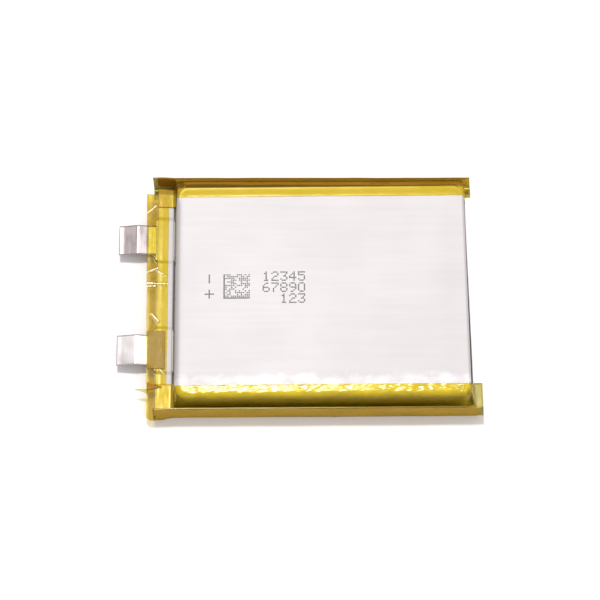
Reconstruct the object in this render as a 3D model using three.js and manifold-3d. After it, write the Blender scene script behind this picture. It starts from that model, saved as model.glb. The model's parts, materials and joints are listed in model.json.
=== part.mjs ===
// Pouch battery cell: a lithium-ion electrode stack sealed in folded foil laminate, with taped edges.
// Millimetres, +Z up. The origin is the middle of the flat base. The tabs leave the cell at -X, the
// laminate is folded shut at +X, and the two long side seals stand up along the walls at -Y (front)
// and +Y (back).
import * as THREE from 'three';
import { mergeVertices } from 'three/addons/utils/BufferGeometryUtils.js';
import Module from 'manifold-3d';

const wasm = await Module();
wasm.setup();

// ---- driving dimensions ----
const BODY_LENGTH = 66;         // drawn cup, across its top
const BODY_WIDTH = 51.3;
const BODY_HEIGHT = 6.3;        // from the base to the top, both at their flat panels
const DRAFT = 0.35;             // each cup wall leans out by this much from top to base
const SHOULDER_RADIUS = 0.9;    // where the top rolls over into the walls
const CORNER_RADIUS = 2.6;      // upright corners, seen from above
const LAMINATE = 0.15;          // foil laminate
const RELIEF = 0.12;            // top and base stand this much proud of their taped margins
const TOP_PANEL = { length: 63, width: 44.6 };
const BASE_PANEL = { length: 62, width: 38.4 };

const FLANGE_INNER = 27.45;     // half width to the inner face of a standing side seal
const FLANGE_TOP = 5.7;
const FLANGE_END = 34.6;        // the side seals run past the folded end

const TAPE = 0.08;              // film tape
const SKIN_GAP = 0.02;          // clearance between two bonded layers
const JOIN_LAP = 0.6;           // how far the terrace reaches in under the drawn body, so that both join
const TRIM_OVERRUN = 0.5;       // how far pieces run on past the edge where they are trimmed
const GRID = 1e-4;              // corners are rounded to this, so that faces meant to be flush are flush
const SIDE_TAPE = { start: -38.6, end: 36.0, bodyStart: -32.9, bodyEnd: 33.0, shoulder: 24.8 };
const FRONT_TAPE_EDGE = { top: 22.6, base: 20.0 };   // half widths to the tape's free edges
const BACK_TAPE_EDGE = { top: 23.3, base: 25.2 };

// Height of the seal between the two laminates, followed outwards: it turns up against the end wall at
// the foot, lies nearly level across the terrace from the heel, and goes on along the tabs.
const SEAL_HEIGHT = 0.28;
const TERRACE_FOOT_X = -33.6;
const TERRACE_HEEL = { x: -33.95, z: 1.9 };
const TERRACE_TAPE_EDGE = { x: -39.7, z: 2.55 };
const TERRACE_EDGE_X = -37.5;
const TERRACE_TAPE_START = -35.0;
const TERRACE_TAPE_ENDS = { front: -27.3, back: 25.9 };
const TAB_CREASE = { x: -42.0, z: 3.0 };

const TAB = { width: 7.2, thickness: 0.1, bladeLength: 4.7, droopDegrees: 11.5, creaseGap: 0.4 };
const TAB_INNER_END = -31.0;
const NEGATIVE_TAB_Y = 14.2;
const POSITIVE_TAB_Y = -12.8;
const SEALANT = { width: 10.0, thickness: 0.06, innerEnd: -33.0, outerEnd: -37.9, sideGap: 0.1 };
const PATCH = { start: -35.4, end: -39.5, width: 9.2 };

const STACK = { start: -28.6, end: 32.0, bottom: 0.45, top: 5.7 };
const ANODE = { count: 12, width: 48.8, length: 60.0 };
const CATHODE = { count: 11, width: 47.8, length: 59.0 };
const ELECTRODE_THICKNESS = 0.16;
const SEPARATOR = { thickness: 0.03, width: 49.6 };
const STACK_TAPE = { thickness: 0.05, start: -10, end: 10, lap: 5, sideGap: 0.1, faceGap: 0.05 };
const FOIL_BUNDLE = { width: 6.4, thickness: 0.25, stackGap: 0.1, topDrop: 0.3 };
const WELD = { start: -32.4, end: -30.9 };
const WELD_TAPE = { width: 9.0, bendGap: 0.1 };

// ---- materials: colour, roughness, metalness ----
const FINISHES = {
  laminate: [0xd6d4d3, 0.38, 0.55],
  yellow_film: [0xd9b51c, 0.25, 0.0],
  amber_patch: [0xb98d2c, 0.55, 0.0],
  nickel: [0xa9a39f, 0.32, 1.0],
  aluminium: [0xdcdbda, 0.3, 1.0],
  tab_sealant: [0xe9e6dc, 0.5, 0.0],
  anode: [0x3a3a3c, 0.85, 0.0],
  cathode: [0x26262a, 0.85, 0.0],
  copper_foil: [0xb87a55, 0.4, 1.0],
  separator: [0xf3f3f1, 0.7, 0.0],
  green_film: [0x3f8f5f, 0.4, 0.0],
};

const cell = new THREE.Group();

function add(name, finish, geometry) {
  const [color, roughness, metalness] = FINISHES[finish];
  const mesh = new THREE.Mesh(geometry, new THREE.MeshStandardMaterial({ color, roughness, metalness }));
  mesh.name = name;
  cell.add(mesh);
}

// ---- solids ----
function solidOf(geometry) {
  geometry.deleteAttribute('normal');
  geometry.deleteAttribute('uv');
  const merged = mergeVertices(geometry, GRID);
  const onGrid = (value) => Math.round(value / GRID) * GRID;
  const vertProperties = Float32Array.from(merged.attributes.position.array, onGrid);
  const triVerts = new Uint32Array(merged.index.array);
  return new wasm.Manifold(new wasm.Mesh({ numProp: 3, vertProperties, triVerts }));
}

function geometryOf(solid) {
  const mesh = solid.getMesh();
  const geometry = new THREE.BufferGeometry();
  geometry.setAttribute('position', new THREE.BufferAttribute(mesh.vertProperties, 3));
  geometry.setIndex(new THREE.BufferAttribute(mesh.triVerts, 1));
  geometry.computeVertexNormals();
  return geometry;
}

const join = (solids) => solids.reduce((sum, solid) => sum.add(solid));

function boxGeometry([x0, x1], [y0, y1], [z0, z1]) {
  const geometry = new THREE.BoxGeometry(x1 - x0, y1 - y0, z1 - z0);
  return geometry.translate((x0 + x1) / 2, (y0 + y1) / 2, (z0 + z1) / 2);
}

const box = (x, y, z) => solidOf(boxGeometry(x, y, z));

// A path moved sideways by a distance, square to each of its stretches. Positive distances are to the
// left of its travel.
function offsetPath(path, distance) {
  return path.map((point, i) => {
    const before = path[Math.max(i - 1, 0)];
    const after = path[Math.min(i + 1, path.length - 1)];
    const arriving = new THREE.Vector2().subVectors(point, before).normalize();
    const leaving = new THREE.Vector2().subVectors(after, point).normalize();
    const first = i > 0 ? arriving : leaving;
    const second = i < path.length - 1 ? leaving : arriving;
    const mitre = new THREE.Vector2(-first.y - second.y, first.x + second.x).normalize();
    const stretch = distance / (mitre.x * -first.y + mitre.y * first.x);
    return new THREE.Vector2(point.x + mitre.x * stretch, point.y + mitre.y * stretch);
  });
}

// The outline of a sheet that follows a path between two sideways distances from it.
function sheetOutline(path, near, far) {
  return new THREE.Shape([...offsetPath(path, near), ...offsetPath(path, far).reverse()]);
}

// Extrudes an outline drawn in X and Z from one Y to another.
function acrossY(shape, y0, y1) {
  const geometry = new THREE.ExtrudeGeometry(shape, { depth: y1 - y0, bevelEnabled: false });
  return geometry.rotateX(Math.PI / 2).translate(0, y1, 0);
}

// Extrudes an outline drawn in Y and Z from one X to another.
function alongX(shape, x0, x1) {
  const geometry = new THREE.ExtrudeGeometry(shape, { depth: x1 - x0, bevelEnabled: false });
  const axes = new THREE.Matrix4().makeBasis(
    new THREE.Vector3(0, 1, 0),
    new THREE.Vector3(0, 0, 1),
    new THREE.Vector3(1, 0, 0),
  );
  return geometry.applyMatrix4(axes).translate(x0, 0, 0);
}

const points = (pairs) => pairs.map(([x, y]) => new THREE.Vector2(x, y));

// ---- the line of the tab-side seal, in X and Z ----
// It runs from inside the cell out to the crease in the tabs, so positive distances are downwards.
const SEAL_PATH = [
  [TAB_INNER_END, SEAL_HEIGHT],
  [TERRACE_FOOT_X, SEAL_HEIGHT],
  [TERRACE_HEEL.x, TERRACE_HEEL.z],
  [TERRACE_TAPE_EDGE.x, TERRACE_TAPE_EDGE.z],
  [TAB_CREASE.x, TAB_CREASE.z],
];

function heightOnSeal(x) {
  const i = SEAL_PATH.findIndex(([pathX]) => pathX <= x);
  const [x0, z0] = SEAL_PATH[Math.max(i - 1, 0)];
  const [x1, z1] = SEAL_PATH[Math.max(i, 1)];
  return z0 + ((x - x0) / (x1 - x0)) * (z1 - z0);
}

// The stretch of the seal path between two X positions, the larger one first.
function sealStretch(fromX, toX) {
  const inside = SEAL_PATH.filter(([x]) => x < fromX - 1e-6 && x > toX + 1e-6);
  return points([[fromX, heightOnSeal(fromX)], ...inside, [toX, heightOnSeal(toX)]]);
}

// A sheet above the seal path: its lower and upper face are given as heights square to the path.
function sealSheet(fromX, toX, low, high, y0, y1) {
  return acrossY(sheetOutline(sealStretch(fromX, toX), -low, -high), y0, y1);
}

// ---- layers of the tab-side seal, as heights above the seal path ----
function layerAbove(layer, gap, thickness) {
  const bottom = layer[1] + gap;
  return [bottom, bottom + thickness];
}

const COVER_LAYER = [-SKIN_GAP / 2 - LAMINATE, -SKIN_GAP / 2];
const CUP_LAYER = [SKIN_GAP / 2, SKIN_GAP / 2 + LAMINATE];
const LOWER_SEALANT_LAYER = [SKIN_GAP, SKIN_GAP + SEALANT.thickness];
const TAB_LAYER = layerAbove(LOWER_SEALANT_LAYER, SKIN_GAP / 2, TAB.thickness);
const UPPER_SEALANT_LAYER = layerAbove(TAB_LAYER, SKIN_GAP / 2, SEALANT.thickness);
const POCKET_HEIGHT = UPPER_SEALANT_LAYER[1] + SKIN_GAP / 2;
const BUMP_LAYER = [SKIN_GAP / 2, POCKET_HEIGHT + LAMINATE];
const UPPER_TAPE_LAYER = layerAbove(BUMP_LAYER, SKIN_GAP, TAPE);
const LOWER_TAPE_LAYER = [COVER_LAYER[0] - SKIN_GAP - TAPE, COVER_LAYER[0] - SKIN_GAP];
const PATCH_LAYER = layerAbove(UPPER_TAPE_LAYER, SKIN_GAP, TAPE);

// ---- pouch ----
const COVER_Z = [SEAL_HEIGHT + COVER_LAYER[0], SEAL_HEIGHT + COVER_LAYER[1]];
const CUP_Z = [SEAL_HEIGHT + CUP_LAYER[0], SEAL_HEIGHT + CUP_LAYER[1]];
const SHELF_Z = BODY_HEIGHT - RELIEF;
const BASE_HALF_LENGTH = BODY_LENGTH / 2 + DRAFT;
const BASE_HALF_WIDTH = BODY_WIDTH / 2 + DRAFT;
const CUP_FLANGE = [FLANGE_INNER, FLANGE_INNER + LAMINATE];
const COVER_FLANGE = [CUP_FLANGE[1] + SKIN_GAP, CUP_FLANGE[1] + SKIN_GAP + LAMINATE];
const UNTRIMMED_END = TERRACE_EDGE_X - TRIM_OVERRUN;

function roundedRectangle(halfLength, halfWidth, radius) {
  const shape = new THREE.Shape();
  shape.absarc(halfLength - radius, halfWidth - radius, radius, 0, Math.PI / 2);
  shape.absarc(-halfLength + radius, halfWidth - radius, radius, Math.PI / 2, Math.PI);
  shape.absarc(-halfLength + radius, -halfWidth + radius, radius, Math.PI, 1.5 * Math.PI);
  shape.absarc(halfLength - radius, -halfWidth + radius, radius, 1.5 * Math.PI, 2 * Math.PI);
  return shape;
}

// The drawn body as a solid block with rolled shoulders and drafted walls, reaching below the seal.
function bodyBlock(inset) {
  const radius = SHOULDER_RADIUS - inset;
  const halfLength = BODY_LENGTH / 2 - inset;
  const halfWidth = BODY_WIDTH / 2 - inset;
  const outline = roundedRectangle(halfLength, halfWidth, CORNER_RADIUS - inset);
  const depth = SHELF_Z;
  const geometry = new THREE.ExtrudeGeometry(outline, {
    depth,
    curveSegments: 5,
    bevelThickness: radius,
    bevelSize: radius,
    bevelOffset: -radius,
    bevelSegments: 4,
  });
  geometry.translate(0, 0, SHELF_Z - inset - radius - depth);
  const position = geometry.attributes.position;
  for (let i = 0; i < position.count; i += 1) {
    const lean = DRAFT * Math.min(1, (SHELF_Z - position.getZ(i)) / SHELF_Z);
    position.setX(i, position.getX(i) * (1 + lean / halfLength));
    position.setY(i, position.getY(i) * (1 + lean / halfWidth));
  }
  return solidOf(geometry);
}

// A standing side seal: an upright sheet whose foot follows the seal path, from the folded end to past
// the edge of the terrace.
function standingFlange([near, far], footLayer, side) {
  const foot = offsetPath(sealStretch(FLANGE_END, UNTRIMMED_END), -footLayer[0]);
  const top = points([[UNTRIMMED_END, FLANGE_TOP], [FLANGE_END, FLANGE_TOP]]);
  const [y0, y1] = [side * near, side * far].sort((a, b) => a - b);
  return solidOf(acrossY(new THREE.Shape([...foot, ...top]), y0, y1));
}

function mirroredStrip(x, [near, far], z) {
  return join([box(x, [near, far], z), box(x, [-far, -near], z)]);
}

// A flat panel centred on the cell.
function panelBox({ length, width }, z) {
  return box([-length / 2, length / 2], [-width / 2, width / 2], z);
}

// A laminate layer over the whole terrace, from just inside the flat seal to where it is trimmed.
function terraceSheet(layer, [y0, y1]) {
  return solidOf(sealSheet(TERRACE_FOOT_X + JOIN_LAP, UNTRIMMED_END, ...layer, y0, y1));
}

const FLAT_SPAN = [TERRACE_FOOT_X + JOIN_LAP / 2, BASE_HALF_LENGTH];
const TAIL_SPAN = [BODY_LENGTH / 2, FLANGE_END];
const ALL_WIDTH = [-BODY_WIDTH, BODY_WIDTH];
const PAST_TERRACE = box([-BODY_LENGTH, TERRACE_EDGE_X], ALL_WIDTH, [-BODY_HEIGHT, 2 * BODY_HEIGHT]);
const TABS_Y = [NEGATIVE_TAB_Y, POSITIVE_TAB_Y];

// The width of one tab's sealant films, made wider by a margin on both sides.
function sealantSpan(tabY, margin = 0) {
  const half = SEALANT.width / 2 + margin;
  return [tabY - half, tabY + half];
}

function makeCup() {
  const belowSeal = box([-BODY_LENGTH, BODY_LENGTH], ALL_WIDTH, [-BODY_HEIGHT, CUP_Z[0]]);
  const walls = bodyBlock(0).subtract(belowSeal);
  const panel = panelBox(TOP_PANEL, [SHELF_Z - LAMINATE, BODY_HEIGHT]);
  const rim = box(FLAT_SPAN, [-CUP_FLANGE[1], CUP_FLANGE[1]], CUP_Z);
  const rimTails = mirroredStrip(TAIL_SPAN, [BASE_HALF_WIDTH, CUP_FLANGE[1]], CUP_Z);
  const terrace = terraceSheet(CUP_LAYER, [-CUP_FLANGE[1], CUP_FLANGE[1]]);
  const bumps = TABS_Y.map((tabY) => terraceSheet(BUMP_LAYER, sealantSpan(tabY, LAMINATE)));
  const flanges = [-1, 1].map((side) => standingFlange(CUP_FLANGE, CUP_LAYER, side));
  const hollow = bodyBlock(LAMINATE);
  const pockets = TABS_Y.map((tabY) =>
    solidOf(sealSheet(TAB_INNER_END, UNTRIMMED_END, -SKIN_GAP, POCKET_HEIGHT, ...sealantSpan(tabY))),
  );
  const shell = join([walls, panel, rim, rimTails, terrace, ...bumps, ...flanges]);
  return shell.subtract(join([hollow, ...pockets, PAST_TERRACE]));
}

function makeCover() {
  const sheet = box(FLAT_SPAN, [-COVER_FLANGE[1], COVER_FLANGE[1]], COVER_Z);
  const panel = panelBox(BASE_PANEL, [COVER_Z[0] - RELIEF, COVER_Z[1]]);
  const tails = mirroredStrip(TAIL_SPAN, [BASE_HALF_WIDTH, COVER_FLANGE[1]], COVER_Z);
  const terrace = terraceSheet(COVER_LAYER, [-COVER_FLANGE[1], COVER_FLANGE[1]]);
  const flanges = [-1, 1].map((side) => standingFlange(COVER_FLANGE, COVER_LAYER, side));
  return join([sheet, panel, tails, terrace, ...flanges]).subtract(PAST_TERRACE);
}

add('pouch_cup', 'laminate', geometryOf(makeCup()));
add('pouch_cover', 'laminate', geometryOf(makeCover()));

// ---- side tapes ----
// Each one runs from the top face over the gap to the standing seal, down its outside and in under
// the base.
function makeSideTape(side, edge) {
  const outside = COVER_FLANGE[1] + SKIN_GAP + TAPE / 2;
  const overTop = SHELF_Z + SKIN_GAP + TAPE / 2;
  const overFlange = FLANGE_TOP + SKIN_GAP + TAPE / 2;
  const underBase = COVER_Z[0] - SKIN_GAP - TAPE / 2;
  const outsideToBase = [[outside, overFlange], [outside, underBase], [edge.base, underBase]];
  const overGap = [[edge.top, overTop], [SIDE_TAPE.shoulder, overTop], [FLANGE_INNER, overFlange]];
  const wrap = [...overGap, ...outsideToBase];
  const tapeAlong = (path, x0, x1) => {
    const sided = points(path.map(([y, z]) => [side * y, z]));
    return solidOf(alongX(sheetOutline(sided, -TAPE / 2, TAPE / 2), x0, x1));
  };
  return join([
    tapeAlong(wrap, SIDE_TAPE.bodyStart, SIDE_TAPE.bodyEnd),
    tapeAlong(outsideToBase, SIDE_TAPE.start, SIDE_TAPE.end),
  ]);
}

add('side_tape_front', 'yellow_film', geometryOf(makeSideTape(-1, FRONT_TAPE_EDGE)));
add('side_tape_back', 'yellow_film', geometryOf(makeSideTape(1, BACK_TAPE_EDGE)));

// ---- terrace tapes and the patch over the positive tab ----
function makeTerraceTape(layer) {
  const { front, back } = TERRACE_TAPE_ENDS;
  return sealSheet(TERRACE_TAPE_START, TERRACE_TAPE_EDGE.x, ...layer, front, back);
}

add('terrace_tape_upper', 'yellow_film', makeTerraceTape(UPPER_TAPE_LAYER));
add('terrace_tape_lower', 'yellow_film', makeTerraceTape(LOWER_TAPE_LAYER));
add('positive_tab_patch', 'amber_patch', sealSheet(
  PATCH.start,
  PATCH.end,
  ...PATCH_LAYER,
  POSITIVE_TAB_Y - PATCH.width / 2,
  POSITIVE_TAB_Y + PATCH.width / 2,
));

// ---- tabs, their sealant films and the welded foils behind them ----
// The blade turns about the crease, on a line through the middle of the tab's thickness.
function makeBlade(tabY) {
  const droop = THREE.MathUtils.degToRad(TAB.droopDegrees);
  const start = TAB.creaseGap / 2;
  const middle = (TAB_LAYER[0] + TAB_LAYER[1]) / 2;
  const geometry = new THREE.BoxGeometry(TAB.bladeLength - start, TAB.width, TAB.thickness);
  geometry.translate(-(TAB.bladeLength + start) / 2, 0, 0);
  return geometry.rotateY(-droop).translate(TAB_CREASE.x, tabY, TAB_CREASE.z + middle);
}

function addTerminal(polarity, finish, tabY) {
  const tabSpan = [tabY - TAB.width / 2, tabY + TAB.width / 2];
  const rootEnd = TAB_CREASE.x + TAB.creaseGap / 2;
  add(`${polarity}_tab_root`, finish, sealSheet(TAB_INNER_END, rootEnd, ...TAB_LAYER, ...tabSpan));
  add(`${polarity}_tab_blade`, finish, makeBlade(tabY));
  const films = { lower: LOWER_SEALANT_LAYER, upper: UPPER_SEALANT_LAYER };
  for (const [place, layer] of Object.entries(films)) {
    const span = sealantSpan(tabY, -SEALANT.sideGap);
    const geometry = sealSheet(SEALANT.innerEnd, SEALANT.outerEnd, ...layer, ...span);
    add(`${polarity}_sealant_${place}`, 'tab_sealant', geometry);
  }
}

addTerminal('negative', 'nickel', NEGATIVE_TAB_Y);
addTerminal('positive', 'aluminium', POSITIVE_TAB_Y);

// The uncoated foil tongues of one polarity, gathered from the end of the stack and welded onto the
// tab's inner end.
function addFoilBundle(polarity, finish, tabY) {
  const weldBottom = SEAL_HEIGHT + UPPER_SEALANT_LAYER[1] + SKIN_GAP;
  const weldTop = weldBottom + FOIL_BUNDLE.thickness;
  const gathered = points([
    [WELD.start, weldBottom],
    [STACK.start - FOIL_BUNDLE.stackGap, weldBottom],
    [STACK.start - FOIL_BUNDLE.stackGap, STACK.top - FOIL_BUNDLE.topDrop],
    [WELD.end, weldTop],
    [WELD.start, weldTop],
  ]);
  const half = FOIL_BUNDLE.width / 2;
  add(`${polarity}_foil_bundle`, finish, acrossY(new THREE.Shape(gathered), tabY - half, tabY + half));
  add(`${polarity}_weld_tape`, 'green_film', boxGeometry(
    [WELD.start, WELD.end - WELD_TAPE.bendGap],
    [tabY - WELD_TAPE.width / 2, tabY + WELD_TAPE.width / 2],
    [weldTop + SKIN_GAP, weldTop + SKIN_GAP + STACK_TAPE.thickness],
  ));
}

addFoilBundle('negative', 'copper_foil', NEGATIVE_TAB_Y);
addFoilBundle('positive', 'aluminium', POSITIVE_TAB_Y);

// ---- electrode stack ----
const PLATE_COUNT = ANODE.count + CATHODE.count;
const PITCH = (STACK.top - STACK.bottom) / (PLATE_COUNT + 1);
const plateHeight = (i) => STACK.bottom + PITCH * (i + 1);
const STACK_MIDDLE_X = (STACK.start + STACK.end) / 2;

// Anodes and cathodes alternate, and both outer plates are anodes.
for (let i = 0; i < PLATE_COUNT; i += 1) {
  const isAnode = i % 2 === 0;
  const { length, width } = isAnode ? ANODE : CATHODE;
  const name = `${isAnode ? 'anode' : 'cathode'}_${String(Math.floor(i / 2) + 1).padStart(2, '0')}`;
  add(name, isAnode ? 'anode' : 'cathode', boxGeometry(
    [STACK_MIDDLE_X - length / 2, STACK_MIDDLE_X + length / 2],
    [-width / 2, width / 2],
    [plateHeight(i) - ELECTRODE_THICKNESS / 2, plateHeight(i) + ELECTRODE_THICKNESS / 2],
  ));
}

// One separator strip, folded back and forth so that a layer of it lies between every two plates.
function separatorPath() {
  const turnRadius = PITCH / 2;
  const reach = SEPARATOR.width / 2 - turnRadius;
  const turnSteps = 4;
  const path = [];
  for (let layer = 0; layer <= PLATE_COUNT; layer += 1) {
    const z = STACK.bottom + PITCH * (layer + 0.5);
    const direction = layer % 2 === 0 ? 1 : -1;
    path.push([-direction * reach, z], [direction * reach, z]);
    for (let step = 1; step < turnSteps && layer < PLATE_COUNT; step += 1) {
      const angle = (Math.PI * step) / turnSteps;
      path.push([
        direction * (reach + turnRadius * Math.sin(angle)),
        z + turnRadius * (1 - Math.cos(angle)),
      ]);
    }
  }
  return points(path);
}

add('separator', 'separator', alongX(
  sheetOutline(separatorPath(), -SEPARATOR.thickness / 2, SEPARATOR.thickness / 2),
  STACK.start,
  STACK.end,
));

// Two short tapes that hold the stack square while it goes into the pouch.
for (const [name, side] of [['stack_tape_front', -1], ['stack_tape_back', 1]]) {
  const outside = SEPARATOR.width / 2 + STACK_TAPE.sideGap;
  const lapEdge = outside - STACK_TAPE.lap;
  const path = points([
    [side * lapEdge, STACK.top + STACK_TAPE.faceGap],
    [side * outside, STACK.top + STACK_TAPE.faceGap],
    [side * outside, STACK.bottom - STACK_TAPE.faceGap],
    [side * lapEdge, STACK.bottom - STACK_TAPE.faceGap],
  ]);
  const outline = sheetOutline(path, -STACK_TAPE.thickness / 2, STACK_TAPE.thickness / 2);
  add(name, 'green_film', alongX(outline, STACK_TAPE.start, STACK_TAPE.end));
}

export default cell;
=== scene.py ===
"""Looks of a pouch battery cell: satin foil laminate, yellow film tape, two bare metal tabs and inkjet marks.

Lengths are in millimetres until a mesh is written, which turns them into metres. The tabs leave the cell at
-X, the laminate is folded shut at +X, and the two taped side seals stand at -Y (front) and +Y (back). Where a
function serves both sides, u is the distance from the middle line, so that y = side * u.
"""
import json
import math
import random

import bmesh
import bpy
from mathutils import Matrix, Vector, noise


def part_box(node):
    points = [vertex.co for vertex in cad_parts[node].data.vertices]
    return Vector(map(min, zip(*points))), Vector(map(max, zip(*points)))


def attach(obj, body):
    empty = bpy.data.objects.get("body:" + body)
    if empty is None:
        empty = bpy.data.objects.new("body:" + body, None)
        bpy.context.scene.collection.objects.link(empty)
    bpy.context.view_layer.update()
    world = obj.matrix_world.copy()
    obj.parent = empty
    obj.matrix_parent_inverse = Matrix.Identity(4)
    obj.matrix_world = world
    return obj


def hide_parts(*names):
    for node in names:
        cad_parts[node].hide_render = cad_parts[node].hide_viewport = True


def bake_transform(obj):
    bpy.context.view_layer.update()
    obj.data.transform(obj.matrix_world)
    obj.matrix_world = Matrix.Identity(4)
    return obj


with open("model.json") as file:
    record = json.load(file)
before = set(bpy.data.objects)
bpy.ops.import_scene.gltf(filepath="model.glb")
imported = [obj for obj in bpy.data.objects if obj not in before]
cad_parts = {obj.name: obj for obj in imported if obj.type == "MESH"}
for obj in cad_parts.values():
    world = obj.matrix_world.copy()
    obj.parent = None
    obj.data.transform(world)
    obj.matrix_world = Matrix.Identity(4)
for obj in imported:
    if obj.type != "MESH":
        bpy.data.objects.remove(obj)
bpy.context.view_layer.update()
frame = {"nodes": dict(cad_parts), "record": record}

MM = 0.001
BODY = "cell_body"
FRONT, BACK = -1, 1

# ---- sizes read from the frame ----


def node_box(name):
    """A CAD node's lowest and highest corner, in millimetres."""
    low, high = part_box(name)
    return Vector(low) / MM, Vector(high) / MM


cup_low, cup_high = node_box("pouch_cup")
cover_high = node_box("pouch_cover")[1]
front_tape_low, front_tape_high = node_box("side_tape_front")
patch_low, patch_high = node_box("positive_tab_patch")

TOP = cup_high.z
TERRACE_EDGE = cup_low.x       # X of the laminate's edge at the tab end
FLANGE_END = cup_high.x        # X where a standing side seal ends, past the folded end
FLANGE_TOP = cover_high.z
FLANGE_OUTER = cover_high.y    # Y of a standing seal's outer face
TAPE_START = front_tape_low.x
TAPE_END = front_tape_high.x

# ---- sizes of the drawn body, as the CAD has them ----
HALF_LENGTH = 33.0             # across the top
HALF_WIDTH = 25.65
DRAFT = 0.35                   # each wall leans out by this much from top to base
SHOULDER = 0.9                 # where the top rolls over into the walls
CORNER = 2.6                   # upright corners, seen from above
RELIEF = 0.12                  # the top stands this much proud of its margins
SHELF = TOP - RELIEF
LAMINATE = 0.15
SEAL_HEIGHT = 0.28
FLANGE_INNER = 27.45           # half width to the inner face of a standing seal

# X and height of the seal at the tab end: along the base, up the wall, out along the terrace and the tabs.
SEAL_PATH = ((-31.0, SEAL_HEIGHT), (-33.6, SEAL_HEIGHT), (-33.95, 1.9), (-39.7, 2.55), (-42.0, 3.0))
TERRACE_HEEL_X, TERRACE_HEEL_Z = SEAL_PATH[2]
TAB_HALF_WIDTH = 3.6
TAB_THICKNESS = 0.1
TAB_LIFT = 0.14                # middle of a tab above the seal path
CREASE = Vector((-42.0, 0.0, 3.14))
BLADE_DROOP = math.radians(11.5)
SEALANT_HALF_WIDTH = 5.0

# ---- thicknesses as drawn here ----
FILM = 0.05
PATCH_FILM = 0.06
SKIN = 0.1                     # each laminate
LAYER_GAP = 0.02               # clearance between the two laminates


# ---- small maths ----
def smooth(low, high, value):
    """0 below low, 1 above high, and an S-curve between them."""
    t = min(max((value - low) / (high - low), 0.0), 1.0)
    return t * t * (3 - 2 * t)


def mix(a, b, t):
    """From a to b as t goes from 0 to 1."""
    return a + (b - a) * t


def spread(low, high, count):
    """count values from low to high, both included."""
    return [mix(low, high, i / (count - 1)) for i in range(count)]


def ripple(x, y, size, seed):
    """Smooth noise between about -1 and 1, with features of the given size in millimetres."""
    return noise.noise(Vector((x / size, y / size, seed * 7.31)))


def crumple(x, y, size, seed):
    """Noise with sharp ridges, like creased film, and a mean near 0."""
    return 0.45 - 2.0 * abs(ripple(x, y, size, seed))


# ---- the surfaces that the films lie on ----
SWELL = 0.35                   # how far the back wall stands out past the drawn shape
SWELL_FROM = 18.0              # Y where the body starts to widen towards the back
STRETCH = 1.0 + SWELL / (HALF_WIDTH - SWELL_FROM)
CROWN = 0.88                   # share of the relief that the middle of the top rises by
EMBOSS = 0.22                  # how high the upper laminate is lifted over a tab and its sealant films
LONG_CREASE_X = -36.3          # a faint crease along the terrace


def swollen(y):
    """Where a point of the drawn body ends up once its back has swelled."""
    return y + (STRETCH - 1.0) * max(y - SWELL_FROM, 0.0)


def drawn(y):
    """The opposite of swollen."""
    return y - (1.0 - 1.0 / STRETCH) * max(y - SWELL_FROM, 0.0)


def inside_distance(x, y):
    """How far a point lies inside the drawn body's outline, seen from above; negative outside it."""
    dx = abs(x) - (HALF_LENGTH - CORNER)
    dy = abs(drawn(y)) - (HALF_WIDTH - CORNER)
    outside = math.hypot(max(dx, 0.0), max(dy, 0.0))
    return CORNER - outside - min(max(dx, dy), 0.0)


def shoulder_tightness(x, y):
    """How sharply the body's top rolls over: tight at the folded end and the back, wide at the other two."""
    folded_end = 0.8 * smooth(30.0, 32.4, x)
    tab_end = 0.35 * smooth(30.0, 32.4, -x)
    back = 1.6 * smooth(22.0, 24.0, y)
    front = 0.45 * smooth(22.0, 24.0, -y)
    return max(1.0 + (folded_end - tab_end) + (back - front), 0.5)


def top_height(x, y, above=0.0):
    """The drawn body's upper surface, or one lying a little above it.

    It is nearly flat, a little proud in the middle, and rolled over at its shoulders.
    """
    depth = inside_distance(x, y) * shoulder_tightness(x, y) + above
    radius = SHOULDER + above
    if depth < radius:
        drop = radius - max(depth, 0.0)
        return SHELF + above - radius + math.sqrt(max(radius**2 - drop**2, 0.0))
    crown = RELIEF * smooth(1.5, 6.5, depth) * CROWN
    waves = 0.008 * ripple(x, y * 2.2, 9.0, 1) * smooth(2.0, 6.0, depth)
    return SHELF + above + crown + waves


def seal_height(x):
    """Height of the seal between the two laminates at the tab end."""
    if x >= SEAL_PATH[0][0]:
        return SEAL_HEIGHT
    for (x0, z0), (x1, z1) in zip(SEAL_PATH, SEAL_PATH[1:]):
        if x >= x1:
            return mix(z0, z1, (x - x0) / (x1 - x0))
    return SEAL_PATH[-1][1]


def off_seal(x, lift):
    """X and Z of a point lifted square off the seal path, with its corners rounded."""
    reach = 0.12
    slope = (seal_height(x - reach) - seal_height(x + reach)) / (2 * reach)
    length = math.hypot(slope, 1.0)
    return x + lift * slope / length, seal_height(x) + lift / length


def tab_middle(polarity):
    """Y of a tab's middle line."""
    low, high = node_box(f"{polarity}_tab_root")
    return (low.y + high.y) / 2


TAB_Y = {polarity: tab_middle(polarity) for polarity in ("negative", "positive")}


def on_tab(y):
    """Whether either tab lies at this Y."""
    return any(abs(y - middle) < TAB_HALF_WIDTH for middle in TAB_Y.values())


def tab_bump(x, y):
    """How far a point of the upper laminate, or of what lies on it, is lifted over the tabs."""
    nearest = min(abs(y - middle) for middle in TAB_Y.values())
    past_laminate = smooth(-TERRACE_EDGE, 1.2 - TERRACE_EDGE, -x)
    plateau = mix(SEALANT_HALF_WIDTH, TAB_HALF_WIDTH + 0.1, past_laminate)
    return EMBOSS * (1.0 - smooth(plateau, plateau + 0.8, nearest))


def ruffle(x, y):
    """Gentle unevenness of the thin terrace, none where it meets the body."""
    crease = 0.01 * (1 + ripple(0.0, y, 6.0, 6)) * (1.0 - smooth(0.0, 0.7, abs(x - LONG_CREASE_X)))
    return 0.02 * (1 + ripple(x, y, 5.0, 4)) * smooth(34.2, 36.5, -x) + crease


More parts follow.
